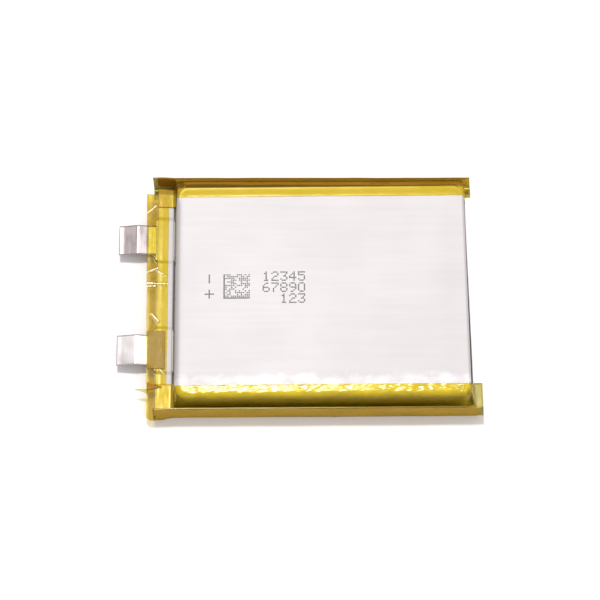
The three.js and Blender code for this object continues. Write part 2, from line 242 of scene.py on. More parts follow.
def flange_flare(x, z, side):
    """How far a standing side seal leans away from the body, most of all past the drawn cup's tab end."""
    past_cup = 1.0 - smooth(-36.6, -33.2, x)
    along = smooth(-HALF_LENGTH, HALF_LENGTH, x)
    height = z / FLANGE_TOP
    if side == FRONT:
        return past_cup * mix(0.53, 0.1, height) + mix(0.32, 0.43, along)
    return height * (0.22 * past_cup + mix(0.62, 0.2, along))


# ---- mesh making ----
MERGE = 0.002                  # points closer than this become one


def in_scene(name, data):
    """A new object that shows the given data."""
    made = bpy.data.objects.new(name, data)
    bpy.context.scene.collection.objects.link(made)
    return made


def new_piece(name, vertices, faces, material, thickness=0.0):
    """A smooth-shaded mesh from points in millimetres. A sheet is given its thickness by Solidify."""
    mesh = bpy.data.meshes.new(name)
    mesh.from_pydata([tuple(c * MM for c in v) for v in vertices], [], faces)
    bm = bmesh.new()
    bm.from_mesh(mesh)
    bmesh.ops.remove_doubles(bm, verts=bm.verts, dist=MERGE * MM)
    bmesh.ops.recalc_face_normals(bm, faces=bm.faces)
    bm.to_mesh(mesh)
    bm.free()
    mesh.shade_smooth()
    mesh.materials.append(material)
    piece = in_scene(name, mesh)
    if thickness:
        solidify = piece.modifiers.new("thickness", "SOLIDIFY")
        solidify.thickness = thickness * MM
        solidify.offset = 0.0
    return piece


def more_looks(piece, *looks):
    """Each (material, covers) goes to the faces at whose middle covers(x, y, z) is true."""
    for index, (material, covers) in enumerate(looks, start=1):
        piece.data.materials.append(material)
        for face in piece.data.polygons:
            if covers(*(face.center / MM)):
                face.material_index = index


def grid_faces(rows, columns, first=0, closed=False):
    """Quads between neighbouring points of a grid stored row by row."""
    faces = []
    last = columns if closed else columns - 1
    for r in range(rows - 1):
        for c in range(last):
            a = first + r * columns + c
            b = first + r * columns + (c + 1) % columns
            faces.append((a, b, b + columns, a + columns))
    return faces


class Sheets:
    """Collects several grids of points into one mesh."""

    def __init__(self):
        self.vertices = []
        self.faces = []

    def add(self, rows, closed=False):
        """Adds one grid of points. In a closed one, each row's last point is joined to its first."""
        first = len(self.vertices)
        for row in rows:
            self.vertices.extend(row)
        self.faces.extend(grid_faces(len(rows), len(rows[0]), first, closed))

    def piece(self, name, material, slot, thickness):
        """The finished piece."""
        return new_piece(name, self.vertices, self.faces, material, thickness)


# ---- materials ----
class Nodes:
    """A new material with a few shorthands for wiring its nodes."""

    def __init__(self, name):
        self.material = bpy.data.materials.new(name)
        self.material.use_nodes = True
        self.tree = self.material.node_tree
        self.tree.nodes.clear()
        self.output = self.node("ShaderNodeOutputMaterial")
        self.position = self.node("ShaderNodeTexCoord").outputs["Object"]

    def node(self, kind, **settings):
        """A new node with its properties set."""
        made = self.tree.nodes.new(kind)
        for key, value in settings.items():
            setattr(made, key, value)
        return made

    def link(self, source, target):
        self.tree.links.new(source, target)

    def scaled(self, scale):
        """Object coordinates times a vector, for noise that is stretched along an axis."""
        mapping = self.node("ShaderNodeMapping")
        mapping.inputs["Scale"].default_value = scale
        self.link(self.position, mapping.inputs["Vector"])
        return mapping.outputs["Vector"]

    def noise(self, scale, detail=3.0, roughness=0.55):
        """Noise with about this many features to the metre along X, Y and Z."""
        texture = self.node("ShaderNodeTexNoise")
        texture.inputs["Scale"].default_value = 1.0
        texture.inputs["Detail"].default_value = detail
        texture.inputs["Roughness"].default_value = roughness
        self.link(self.scaled(scale), texture.inputs["Vector"])
        return texture.outputs["Fac"]

    def between(self, factor, low, high):
        """A number that follows factor from low to high."""
        ramp = self.node("ShaderNodeMapRange")
        ramp.inputs["From Min"].default_value = 0.3
        ramp.inputs["From Max"].default_value = 0.7
        ramp.inputs["To Min"].default_value = low
        ramp.inputs["To Max"].default_value = high
        self.link(factor, ramp.inputs["Value"])
        return ramp.outputs["Result"]

    def along(self, axis, start, end):
        """A number that goes from 0 to 1 between two places on an axis, in millimetres."""
        split = self.node("ShaderNodeSeparateXYZ")
        self.link(self.position, split.inputs["Vector"])
        ramp = self.node("ShaderNodeMapRange")
        ramp.inputs["From Min"].default_value = start * MM
        ramp.inputs["From Max"].default_value = end * MM
        self.link(split.outputs[axis], ramp.inputs["Value"])
        return ramp.outputs["Result"]

    def colours(self, factor, low, high):
        """A colour that follows factor from low to high."""
        ramp = self.node("ShaderNodeValToRGB")
        ramp.color_ramp.elements[0].position = 0.3
        ramp.color_ramp.elements[1].position = 0.7
        ramp.color_ramp.elements[0].color = (*low, 1.0)
        ramp.color_ramp.elements[1].color = (*high, 1.0)
        self.link(factor, ramp.inputs["Fac"])
        return ramp.outputs["Color"]

    def bump(self, height, distance, strength=1.0, onto=None):
        """Normals for a relief of the given depth in millimetres, on top of others where given."""
        made = self.node("ShaderNodeBump")
        made.inputs["Strength"].default_value = strength
        made.inputs["Distance"].default_value = distance * MM
        self.link(height, made.inputs["Height"])
        if onto is not None:
            self.link(onto, made.inputs["Normal"])
        return made.outputs["Normal"]

    def principled(self, **values):
        """A Principled shader with some of its inputs set, in whose names _ stands for a space."""
        shader = self.node("ShaderNodeBsdfPrincipled")
        for key, value in values.items():
            shader.inputs[key.replace("_", " ")].default_value = value
        return shader

    def finish(self, shader):
        """The material, with this shader as its surface."""
        self.link(shader, self.output.inputs["Surface"])
        return self.material


# The same range in Y also sets where painted glints lighten the foil's colour.
CRINKLE_FROM, CRINKLE_FULL = -17.5, -21.5   # Y where the foil starts to crinkle towards the front tape


def laminate_material():
    """Satin foil laminate: nearly white, with faint streaks, fine grain, and painted glints in its crinkled
    front margin.
    """
    n = Nodes("foil_laminate")
    streaks = n.noise((45, 900, 900), detail=4)
    clouds = n.noise((60, 90, 90), detail=2)
    grain = n.noise((9000, 9000, 9000), detail=2)
    crinkle_and_glints = n.node("ShaderNodeMath", operation="MULTIPLY")
    n.link(n.noise((300, 420, 420), detail=3), crinkle_and_glints.inputs[0])
    n.link(n.along("Y", CRINKLE_FROM, CRINKLE_FULL), crinkle_and_glints.inputs[1])
    shader = n.principled(Metallic=0.45)
    silver = n.colours(streaks, (0.425, 0.404, 0.404), (0.445, 0.423, 0.423))
    # Painted glints: the foil's colour is mixed towards a lighter grey in crinkled patches near the front
    # tape.
    painted_glints = n.node("ShaderNodeMix", data_type="RGBA")
    painted_glints.inputs["B"].default_value = (0.60, 0.58, 0.58, 1.0)
    n.link(n.between(crinkle_and_glints.outputs["Value"], 0.0, 1.0), painted_glints.inputs["Factor"])
    n.link(silver, painted_glints.inputs["A"])
    n.link(painted_glints.outputs["Result"], shader.inputs["Base Color"])
    n.link(n.between(clouds, 0.57, 0.60), shader.inputs["Roughness"])
    long_waves = n.bump(streaks, 0.01, 0.5)
    fine = n.bump(grain, 0.004, 0.35, long_waves)
    n.link(n.bump(crinkle_and_glints.outputs["Value"], 0.15, 1.0, fine), shader.inputs["Normal"])
    return n.finish(shader.outputs["BSDF"])


FILM_IOR = 1.3                 # sets how soon a film turns glossy at a slant


def film_material(name, tint, body, cover, roughness, gloss_ior=4.0):
    """Clear film: it tints what is behind it, and its own colour and gloss cover a share of that."""
    n = Nodes(name)
    wrinkles = n.noise((900, 1300, 1300), detail=4, roughness=0.6)
    cloud = n.noise((150, 260, 260), detail=3)
    clear = n.node("ShaderNodeBsdfTransparent")
    clear.inputs["Color"].default_value = (*tint, 1.0)
    surface = n.principled(IOR=gloss_ior)
    n.link(n.colours(cloud, tuple(c * 0.85 for c in body), body), surface.inputs["Base Color"])
    n.link(n.between(cloud, roughness * 0.8, roughness * 1.3), surface.inputs["Roughness"])
    n.link(n.bump(wrinkles, 0.012, 0.5), surface.inputs["Normal"])
    fresnel = n.node("ShaderNodeFresnel")
    fresnel.inputs["IOR"].default_value = FILM_IOR
    share = n.node("ShaderNodeMath", operation="ADD", use_clamp=True)
    share.inputs[1].default_value = cover
    n.link(fresnel.outputs["Fac"], share.inputs[0])
    mixed = n.node("ShaderNodeMixShader")
    n.link(share.outputs["Value"], mixed.inputs["Fac"])
    n.link(clear.outputs["BSDF"], mixed.inputs[1])
    n.link(surface.outputs["BSDF"], mixed.inputs[2])
    return n.finish(mixed.outputs["Shader"])


def metal_material(name, dark, light, roughness):
    """Rolled metal strip with fine lines across it and soft smears."""
    n = Nodes(name)
    lines = n.noise((5200, 160, 500), detail=5, roughness=0.6)
    smears = n.noise((420, 240, 240), detail=3)
    shader = n.principled(Metallic=1.0)
    n.link(n.colours(lines, dark, light), shader.inputs["Base Color"])
    n.link(n.between(smears, roughness * 0.75, roughness * 1.3), shader.inputs["Roughness"])
    n.link(n.bump(lines, 0.006, 0.6), shader.inputs["Normal"])
    return n.finish(shader.outputs["BSDF"])


def plain_material(name, dark, light, roughness, grain=700, metallic=0.0):
    """A matte coating with fine mottling."""
    n = Nodes(name)
    mottle = n.noise((grain, grain, grain), detail=5)
    shader = n.principled(Metallic=metallic, Roughness=roughness)
    n.link(n.colours(mottle, dark, light), shader.inputs["Base Color"])
    n.link(n.bump(mottle, 0.01, 0.5), shader.inputs["Normal"])
    return n.finish(shader.outputs["BSDF"])


def foil_material(name, dark, light):
    """Thin bare metal foil."""
    return plain_material(name, dark, light, 0.35, metallic=1.0)


LAMINATE_LOOK = laminate_material()
YELLOW_LOOK = film_material("yellow_film_tape", (0.985, 0.925, 0.36), (0.62, 0.44, 0.03), 0.04, 0.2)
# Painted shade: a darker copy of the yellow film for tape that hangs free of the laminate, standing in for
# the shaded floor seen through it.
LOOSE_SHADED_LOOK = film_material("loose_tape_painted_shade", (0.84, 0.80, 0.42), (0.42, 0.38, 0.12), 0.06, 0.4)
# Painted shade: a darker copy of the yellow film where the terrace tapes reach past the laminate's edge, for
# the shade beneath them.
OVERHANG_SHADED_LOOK = film_material("tape_edge_painted_shade", (0.92, 0.86, 0.38), (0.50, 0.34, 0.03), 0.05, 0.2)
# Painted shade: a darker, browner copy of the film where it spans the gap behind the body and lies on the
# back seal's top and inner face.
SHADED_LOOK = film_material("back_gap_painted_shade", (0.93, 0.84, 0.42), (0.34, 0.20, 0.03), 0.08, 0.3, 1.5)
# Painted shade: a darker copy of the yellow film where it lies over a tab past the laminate's edge.
OVER_TAB_SHADED_LOOK = film_material("tab_film_painted_shade", (0.80, 0.77, 0.337), (0.50, 0.36, 0.03), 0.05, 0.2)
CRUSHED_LOOK = film_material("crushed_film", (0.96, 0.82, 0.20), (0.58, 0.31, 0.02), 0.30, 0.5, 1.5)
# Painted highlight: a near-white copy of the film along the fold crests, standing in for the glints where
# folds catch the key light.
CREST_HIGHLIGHT_LOOK = film_material("fold_crest_painted_highlight", (0.97, 0.95, 0.70), (0.92, 0.86, 0.62), 0.50, 0.3)
PATCH_LOOK = film_material("amber_patch_film", (0.96, 0.90, 0.48), (0.47, 0.31, 0.06), 0.42, 0.5, 1.5)
NICKEL_LOOK = metal_material("nickel_strip", (0.31, 0.27, 0.265), (0.50, 0.44, 0.435), 0.30)
ALUMINIUM_LOOK = metal_material("aluminium_strip", (0.495, 0.47, 0.465), (0.55, 0.52, 0.51), 0.36)
INK_LOOK = plain_material("inkjet_ink", (0.07, 0.07, 0.075), (0.13, 0.13, 0.14), 0.6, grain=3000)


# ---- pouch ----
SEAL_TOP = {FRONT: FLANGE_TOP - 0.9, BACK: FLANGE_TOP - 0.6}   # the laminate's edge, under the folded tape
SEAL_BEND = 0.35               # radius at the foot of a standing seal
BACK_TRIM = 1.2                # how much shorter the back seal is at the folded end
BASE_START, BASE_END = -33.2, 31.5   # X of the flat lower laminate, up to where it turns up
BASE_HALF_WIDTH = 26.2
BASE_MARGIN_Z = 0.2            # height of the lower laminate around its middle, which stands proud downwards
BASE_PROUD = 0.145
LIP_RADIUS = 1.1               # of the turn at the folded end
LIP_HEIGHTS = (1.5, 1.9)       # above the turn's start
LIP_WIDTH = 0.985              # share of the base's width


def rounded_ring(inset, z_of, spread_out=0.0):
    """A closed ring that follows the drawn body's outline at an inset, with its height from a function."""
    half_length = HALF_LENGTH - inset + spread_out
    half_width = HALF_WIDTH - inset + spread_out
    radius = max(min(CORNER - inset + spread_out, half_width), 0.25)
    reach_x, reach_y = half_length - radius, half_width - radius
    centres = ((reach_x, reach_y), (-reach_x, reach_y), (-reach_x, -reach_y), (reach_x, -reach_y))
    corner_steps, long_steps, short_steps = 10, 48, 36
    ring = []
    for index, (x, y) in enumerate(centres):
        for step in range(corner_steps):
            angle = math.pi * (0.5 * index + 0.5 * step / corner_steps)
            ring.append((x + radius * math.cos(angle), y + radius * math.sin(angle)))
        end_angle = math.pi * 0.5 * (index + 1)
        out_x, out_y = radius * math.cos(end_angle), radius * math.sin(end_angle)
        next_x, next_y = centres[(index + 1) % 4]
        steps = long_steps if index % 2 == 0 else short_steps
        for step in range(steps):
            t = step / steps
            ring.append((mix(x + out_x, next_x + out_x, t), mix(y + out_y, next_y + out_y, t)))
    return [(x, swollen(y), z_of(x, swollen(y))) for x, y in ring]


def body_rings():
    """The drawn body from the middle of its top, over the shoulders and down the walls to the foot."""
    rings = []
    for inset in (25.3, 22, 18, 14, 11, 9, 7, 5.5, 4, 3, 2, 1.4, SHOULDER):
        rings.append(rounded_ring(inset, top_height))
    steps = 8
    for step in range(1, steps + 1):
        angle = 0.5 * math.pi * step / steps
        rings.append(rounded_ring(SHOULDER * (1 - math.sin(angle)), top_height))
    for step in range(1, steps + 1):
        t = step / steps
        z = mix(SHELF - SHOULDER, SEAL_HEIGHT + LAMINATE, t)
        bulge = 0.05 * math.sin(math.pi * t)
        rings.append(rounded_ring(0.0, lambda x, y, z=z: z, DRAFT * t + bulge))
    for above_seal, past_wall in ((0.08, 0.1), (0.02, 0.3)):
        z = SEAL_HEIGHT + above_seal
        rings.append(rounded_ring(0.0, lambda x, y, z=z: z, DRAFT + past_wall))
    return rings


def flange_rows(side, u, foot_lift):
    """One laminate of a standing side seal, at u: out from the body's foot, round a small bend and up."""
    stations = spread(TERRACE_EDGE, FLANGE_END - (BACK_TRIM if side == BACK else 0.0), 100)
    bend_start = u - SEAL_BEND
    rows = []
    for x in stations:
        foot = seal_height(x) + foot_lift
        wave = 0.05 * ripple(x, side * 40.0, 14.0, 3)
        upright = []
        for step in range(1, 5):
            angle = 0.5 * math.pi * step / 4
            z = foot + SEAL_BEND * (1 - math.cos(angle))
            upright.append((bend_start + SEAL_BEND * math.sin(angle), z))
        upright += [(u, z) for z in spread(foot + SEAL_BEND + 0.5, SEAL_TOP[side], 7)]
        row = [(x, side * (HALF_WIDTH + DRAFT - 0.2), foot), (x, side * bend_start, foot)]
        row += [(x, side * (out + (flange_flare(x, z, side) + wave)), z) for out, z in upright]
        rows.append(row)
    return rows


def terrace_rows(lift, emboss, y_limit):
    """One laminate of the terrace, embossed by a share of the full height where it crosses the tabs."""
    rows = []
    # Close together where the seal turns up the wall and out again.
    up_the_wall = [-33.1, -33.3, -33.45, -33.55, -33.65, -33.75, -33.85, -33.95, -34.05, -34.2]
    for x in up_the_wall + spread(-34.5, TERRACE_EDGE, 12):
        place_x, place_z = off_seal(x, lift)
        bumped = emboss * smooth(33.4, 33.9, -x)
        row = []
        for y in spread(-y_limit, y_limit, 150):
            row.append((place_x, y, place_z + bumped * tab_bump(x, y) + ruffle(x, y)))
        rows.append(row)
    return rows


def base_height(x, y):
    """Height of the lower laminate's middle surface."""
    inside_panel = min(BASE_END - x, x + HALF_LENGTH, 20.5 - abs(y))
    return BASE_MARGIN_Z - BASE_PROUD * smooth(-1.0, 2.5, inside_panel)


def end_fold_x(y):
    """Where the lower laminate stands up at the folded end, which is not quite square to the sides."""
    return mix(33.75, 33.45, smooth(-26.0, 26.0, y))


def base_rows():
    """The flat lower laminate, a little proud in the middle, turned up at the folded end."""
    across = spread(-BASE_HALF_WIDTH, BASE_HALF_WIDTH, 70)
    rows = [[(x, y, base_height(x, y)) for y in across] for x in spread(BASE_START, BASE_END, 60)]
    angles = spread(0.2, 0.5 * math.pi, 7)
    turned = [(LIP_RADIUS * math.sin(angle), LIP_RADIUS * (1 - math.cos(angle))) for angle in angles]
    turned += [(LIP_RADIUS, up) for up in LIP_HEIGHTS]
    for out, up in turned:
        rows.append([(end_fold_x(y) - LIP_RADIUS + out, y * LIP_WIDTH, BASE_MARGIN_Z + up) for y in across])
    return rows


def make_pouch():
    """The two laminates, in place of the CAD's cup and cover."""
    cup = Sheets()
    rings = [[(x, y, z - SKIN / 2) for x, y, z in ring] for ring in body_rings()]
    cup.add(rings, closed=True)
    cup.faces.append(tuple(range(len(rings[0]))))
    for side in (FRONT, BACK):
        cup.add(flange_rows(side, FLANGE_INNER + LAMINATE / 2, LAMINATE / 2))
    cup.add(terrace_rows(LAMINATE / 2 + LAYER_GAP, 1.0, FLANGE_INNER))
    upper = cup.piece("pouch_cup_skin", LAMINATE_LOOK, "laminate", SKIN)
    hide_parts("pouch_cup")

    cover = Sheets()
    for side in (FRONT, BACK):
        cover.add(flange_rows(side, FLANGE_INNER + 1.5 * LAMINATE + LAYER_GAP, -LAMINATE / 2))
    cover.add(terrace_rows(-LAMINATE / 2, 0.0, FLANGE_INNER + LAMINATE))
    cover.add(base_rows())
    lower = cover.piece("pouch_cover_skin", LAMINATE_LOOK, "laminate", SKIN)
    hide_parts("pouch_cover")
    for piece in (upper, lower):
        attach(piece, BODY)


# ---- tapes ----
OVER = 0.06                    # middle of a tape above what it is stuck to
FOLD_TOP = FLANGE_TOP + 0.02   # where a side tape goes over the standing seal
TAPE_FACE = FLANGE_INNER - 0.03
LEAVE = {FRONT: 0.85, BACK: 0.28}   # how far inside the wall a side tape leaves the shoulder
SAG = {FRONT: 2.9, BACK: 1.0}       # how far it hangs into the gap beside the body
CRINKLE = {FRONT: (3.4, 5.2), BACK: (0.3, 0.3)}   # strength of its creases at the tab end and the folded end
TURN_UP = 0.85                 # share of the way across the gap where it turns up the standing seal
ON_TOP = 32.95                 # how far towards either end a side tape lies on the top face
FAR_END = {FRONT: 34.2, BACK: 33.5}   # X that it reaches beside the body at the folded end
UNDER_BASE_Z = 0.06            # height of a side tape's middle under the base
SIDE_SHEET_X = (-37.55, -33.45)   # the part of a side tape that lies on the terrace
SIDE_SHEET_LIFT = 0.19

# Each side tape: its node, its ends in X, and how far out its edges are on the top, under the base and on the
# terrace.
SIDE_TAPES = {
    FRONT: ("side_tape_front", (-37.8, TAPE_END), 22.6, 20.0, 20.9),
    BACK: ("side_tape_back", (TAPE_START, TAPE_END - 1.0), 23.3, 25.5, 22.5),
}


def leave_at(x, side):
    """How far from the middle the tape leaves the body's shoulder, which is less round the corners."""
    corner = min(max(abs(x) - (HALF_LENGTH - CORNER), 0.0), CORNER)
    wall = HALF_WIDTH - CORNER + math.sqrt(CORNER**2 - corner**2)
    return (swollen(wall) if side == BACK else wall) - LEAVE[side]


def tape_crinkle(x, u, side):
    """Small creases in a tape that is stuck to a flat face."""
    fine = 0.010 * ripple(x * 0.6, u * 1.4, 0.6, 11 + side)
    creases = 0.014 * crumple(x * 0.6, u, 1.5, 14 + side)
    strength = mix(*CRINKLE[side], smooth(-5.0, 30.0, x))
    return (fine + creases) * strength * (1.0 - smooth(24.0, 24.7, u))


def pinch_fold(x, u, side):
    """Sharp pleats that fan out towards the front corner at the folded end, where the tape was squeezed."""
    if side == BACK:
        return 0.0
    across, along = x - 32.3, u - 21.0
    reach = math.hypot(across, along)
    angle = math.atan2(across, along)
    if not -0.45 < angle < 0.75:
        return 0.0
    pleat = 0.55 * abs(math.sin(7.5 * angle)) - 0.2
    within_reach = smooth(0.6, 3.5, reach) * (1.0 - smooth(5.4, 6.9, reach))
    return pleat * within_reach * smooth(-0.45, -0.2, angle)


def body_tape_height(x, u, side):
    """Height of the tape that runs from the body's top face to the standing seal."""
    on_top = min(max(x, -ON_TOP), ON_TOP)
    leave = leave_at(x, side)
    if u <= leave:
        return top_height(on_top, side * u, OVER)
    start = top_height(on_top, side * leave, OVER)
    sag = SAG[side] * (1.0 + 0.08 * ripple(x, 0.0, 7.0, 5))
    reach = TURN_UP * (TAPE_FACE - leave)
    step = 0.05
    straight = (top_height(on_top, side * (leave - step), OVER) - start) / step * reach
    straight = min(straight, sag)
    t = (u - leave) / (TAPE_FACE - leave)
    out = min(t / TURN_UP, 1.0)
    hanging = start - straight * out - (sag - straight) * out**2
    return mix(hanging, FOLD_TOP, smooth(TURN_UP, 1.0, t))


def body_tape_stations(side):
    """X and greatest height of each row of tape: up the end wall, along the top and down the far end."""
    end_wall = HALF_LENGTH + 0.06
    stations = [(-end_wall - DRAFT * t, mix(0.6, 5.2, 1 - t)) for t in spread(1.0, 0.0, 9)]
    stations += [(x, TOP + 1.0) for x in spread(-ON_TOP, HALF_LENGTH, 230)]
    stations += [(mix(end_wall, FAR_END[side], t), mix(5.3, 2.4, t)) for t in spread(0.0, 1.0, 7)]
    return stations


def body_tape_rows(side, edge):
    """The tape from its edge on the top face, over the shoulder and across the gap to the standing seal."""
    rows = []
    for x, ceiling in body_tape_stations(side):
        leave = leave_at(x, side)
        wander = edge + 0.05 * ripple(x, 0.0, 3.0, 8)
        turn = mix(leave, TAPE_FACE, TURN_UP)
        across = spread(wander, leave, 26) + spread(leave, turn, 13)[1:] + spread(turn, TAPE_FACE, 9)[1:]
        row = []
        for u in across:
            near_flange = smooth(turn - 0.3, turn + 0.1, u)
            stretch = smooth(leave, TAPE_FACE, u)
            z = body_tape_height(x, u, side)
            if u < turn:
                z = min(z, ceiling)
            z += (tape_crinkle(x, u, side) + pinch_fold(x, u, side)) * (1 - near_flange)
            row.append((x, side * (u + stretch * flange_flare(x, FLANGE_TOP, side)), z))
        rows.append(row)
    return rows


def outer_tape_rows(side, start, end, edge_base):
    """The tape over the top of the standing seal, down its outside and in under the base."""
    outer = FLANGE_OUTER + 0.05
    profile = [(TAPE_FACE, FOLD_TOP), (FLANGE_INNER + 0.1, FOLD_TOP + 0.05)]
    profile += [(outer - 0.12, FOLD_TOP + 0.05), (outer - 0.02, FOLD_TOP)]
    profile += [(outer, z) for z in spread(FLANGE_TOP - 0.25, 0.35, 12)]
    profile += [(outer - 0.05, 0.2), (outer - 0.2, 0.09)]
    profile += [(u, UNDER_BASE_Z) for u in spread(outer - 0.6, edge_base, 14)]
    rows = []
    for t in spread(0.0, 1.0, 190):
        row = []
        for u, z in profile:
            x = mix(start, end - 0.09 * z, t)
            past_end = max(x - FLANGE_END, 0.0) + max(TERRACE_EDGE - x, 0.0)
            sway, lift = 0.0, 0.0
            if u > outer - 0.5:
                sway = 0.05 * ripple(x, z * 2.0 + side * 9.0, 6.0, 13) - 0.05 * past_end * z / FLANGE_TOP
            else:
                lift = 0.02 * (1 + ripple(x, u, 2.0, 14)) * min(past_end, 1.0)
            row.append((x, side * (u + flange_flare(x, z, side) + sway), z + lift))
        rows.append(row)
    return rows


def terrace_side_rows(side, edge):
    """The tape's end on the terrace, which turns up at the body, and up the inner face of the seal."""
    rows = []
    for x in spread(*SIDE_SHEET_X, 22):
        rise = 1.2 * max(x - TERRACE_HEEL_X, 0.0)
        floor = max(seal_height(x), TERRACE_HEEL_Z) + LAMINATE + SIDE_SHEET_LIFT + rise
        row = []
        for u in spread(edge, FLANGE_INNER - 0.15, 16):
            lean = flange_flare(x, floor, side) * smooth(25.0, 27.0, u)
            row.append((x, side * (u + lean), floor + 0.02 * ripple(x * 2.0, u * 0.6, 1.3, 17)))
        for z in spread(floor + 0.25, FOLD_TOP, 10):
            row.append((x, side * (FLANGE_INNER - 0.04 + flange_flare(x, z, side)), z))
        rows.append(row)
    return rows


def off_the_cell(x, y, z):
    """Whether a side tape hangs free of the laminate at a point."""
    last = FLANGE_END if abs(y) > FLANGE_INNER - 0.5 else HALF_LENGTH + 0.7
    return not TERRACE_EDGE < x < last


def over_back_gap(x, y, z):
    """Whether a point lies over the gap at the back, or on the inner face or the top of the seal there."""
    past_body = y > HALF_WIDTH + 0.1
    inside_seal = y - flange_flare(x, z, BACK) < FLANGE_INNER + 0.1
    return past_body and z > 1.0 and (inside_seal or z > FLANGE_TOP - 0.05)


def make_side_tapes():
    """The two tapes over the standing seals, in place of the CAD's."""
    for side, (node, (start, end), top_edge, base_edge, terrace_edge) in SIDE_TAPES.items():
        sheets = Sheets()
        sheets.add(body_tape_rows(side, top_edge))
        sheets.add(outer_tape_rows(side, start, end, base_edge))
        sheets.add(terrace_side_rows(side, terrace_edge))
        piece = sheets.piece(f"{node}_film", YELLOW_LOOK, "yellow_film", FILM)
        # Painted shade: darker copies of the film over the gap at the back and where the tape hangs free of
        # the laminate.
        more_looks(piece, (SHADED_LOOK, over_back_gap), (LOOSE_SHADED_LOOK, off_the_cell))
        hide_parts(node)
        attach(piece, BODY)


# Folds in the terrace tape: from one end to the other in X and Y, half width, height.
FOLDS = (
    ((-40.3, 20.5), (-38.0, 22.8), 0.35, 0.16),
    ((-39.9, 6.0), (-37.4, 7.2), 0.35, 0.16),
    ((-37.6, 6.6), (-35.4, 5.2), 0.35, 0.12),
    ((-40.0, 3.4), (-35.0, 3.4), 0.40, 0.12),
    ((-39.6, 2.6), (-37.8, 2.8), 0.30, 0.10),
    ((-38.5, -4.1), (-37.1, -5.8), 0.45, 0.13),
    ((-36.3, -11.2), (-36.0, -13.2), 0.30, 0.10),
    ((-36.8, -17.2), (-35.6, -18.6), 0.30, 0.12),
    ((-39.2, -20.8), (-36.9, -21.7), 0.30, 0.14),
)
FOLD_PUCKER = 0.7              # length of the small waves along the crest of a fold
# Half width of the painted highlight along each fold's crest.
CREST_HALF_WIDTH = 0.14


def beside_fold(x, y, start, end):
    """A point's distance from a fold's line, and how far along the line it lies."""
    line = Vector(end) - Vector(start)
    t = (Vector((x, y)) - Vector(start)).dot(line) / line.length_squared
    t = min(max(t, 0.0), 1.0)
    return (Vector((x, y)) - Vector(start) - line * t).length, t * line.length


def fold_height(x, y):
    """Height of the folds at a point: each is a rounded ridge, puckered along its crest."""
    total = 0.0
    for start, end, half_width, height in FOLDS:
        distance, along = beside_fold(x, y, start, end)
        pucker = 1.0 + 0.35 * math.sin(2 * math.pi * along / FOLD_PUCKER)
        total += height * pucker * (1.0 - smooth(0.0, half_width, distance))
    return total


def on_crest(x, y):
    """Whether a point lies on the crest of a fold, where a painted highlight whitens the film."""
    half_width = CREST_HALF_WIDTH * (1.0 + 1.6 * ripple(x, y, 0.9, 27))
    return any(beside_fold(x, y, start, end)[0] < half_width for start, end, *_ in FOLDS)


UPPER_TAPE_LIFT = LAMINATE / 2 + LAYER_GAP + SKIN / 2 + OVER
TERRACE_TAPE_Y = (-29.4, 25.7)         # its front and back ends
TERRACE_TAPE_START = -35.0             # X of its edge beside the body
TERRACE_TAPE_FRONT_START = -37.2       # the same in front of the positive tab, where the side tape lies
TERRACE_TAPE_EDGE = -39.75             # X of its free edge


def terrace_tape_height(x, y, upper):
    """Height of the tape over or under the terrace, past whose edge the two come close together."""
    past_edge = 1.0 - smooth(-39.2, -37.6, x)
    if upper:
        lift = UPPER_TAPE_LIFT + tab_bump(x, y) + ruffle(x, y) + fold_height(x, y) + 0.06 * past_edge
    else:
        lift = mix(-0.2, -0.02, past_edge)
    return seal_height(x) + lift + 0.012 * ripple(x * 0.8, y, 1.6, 25)


def terrace_tape_rows(upper, seed):
    """The tape over or under the terrace, from its edge beside the body to its slightly wavy free edge."""
    rows = []
    for y in spread(*TERRACE_TAPE_Y, 420):
        edge = TERRACE_TAPE_EDGE - 0.012 * (y + 1.8) + 0.08 * ripple(0.0, y, 4.0, seed)
        edge += 0.9 * smooth(28.6, 29.6, -y)
        start = TERRACE_TAPE_START + 0.05 * ripple(3.0, y, 9.0, seed)
        start = mix(start, TERRACE_TAPE_FRONT_START, smooth(20.9, 21.5, -y))
        rows.append([(x, y, terrace_tape_height(x, y, upper)) for x in spread(start, edge, 44)])
    return rows


def make_terrace_tapes():
    """The tapes over and under the terrace, in place of the CAD's."""
    for node, upper, seed in (("terrace_tape_upper", True, 30), ("terrace_tape_lower", False, 31)):
        sheets = Sheets()
        sheets.add(terrace_tape_rows(upper, seed))
        piece = sheets.piece(f"{node}_film", YELLOW_LOOK, "yellow_film", FILM)
        # Past the laminate's edge the film is a darker copy: painted shade.
        shaded_overhang = (OVERHANG_SHADED_LOOK, lambda x, y, z: x < TERRACE_EDGE)
        # Over the tabs past the laminate's edge, the upper film is a darker copy: painted shade.
        over_tab = (OVER_TAB_SHADED_LOOK, lambda x, y, z: upper and x < TERRACE_EDGE and on_tab(y))
        # Painted highlights along the crests of the folds.
        crest_highlights = (CREST_HIGHLIGHT_LOOK, lambda x, y, z: upper and on_crest(x, y))
        more_looks(piece, shaded_overhang, over_tab, crest_highlights)
        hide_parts(node)
        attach(piece, BODY)


PATCH_START, PATCH_END = -35.4, -39.4
PATCH_LIFT = 0.08              # above the middle of the terrace tape


def make_patch():
    """The matte patch laid over the positive tab's root."""
    rows = []
    for y in spread(patch_low.y, patch_high.y, 40):
        row = []
        for x in spread(PATCH_START, PATCH_END, 24):
            waves = 0.02 * (1 + ripple(x, y, 1.8, 41))
            row.append((x, y, terrace_tape_height(x, y, True) + PATCH_LIFT + waves))
        rows.append(row)
    sheets = Sheets()
    sheets.add(rows)
    piece = sheets.piece("positive_tab_patch_film", PATCH_LOOK, "amber_patch", PATCH_FILM)
    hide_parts("positive_tab_patch")
    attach(piece, BODY)


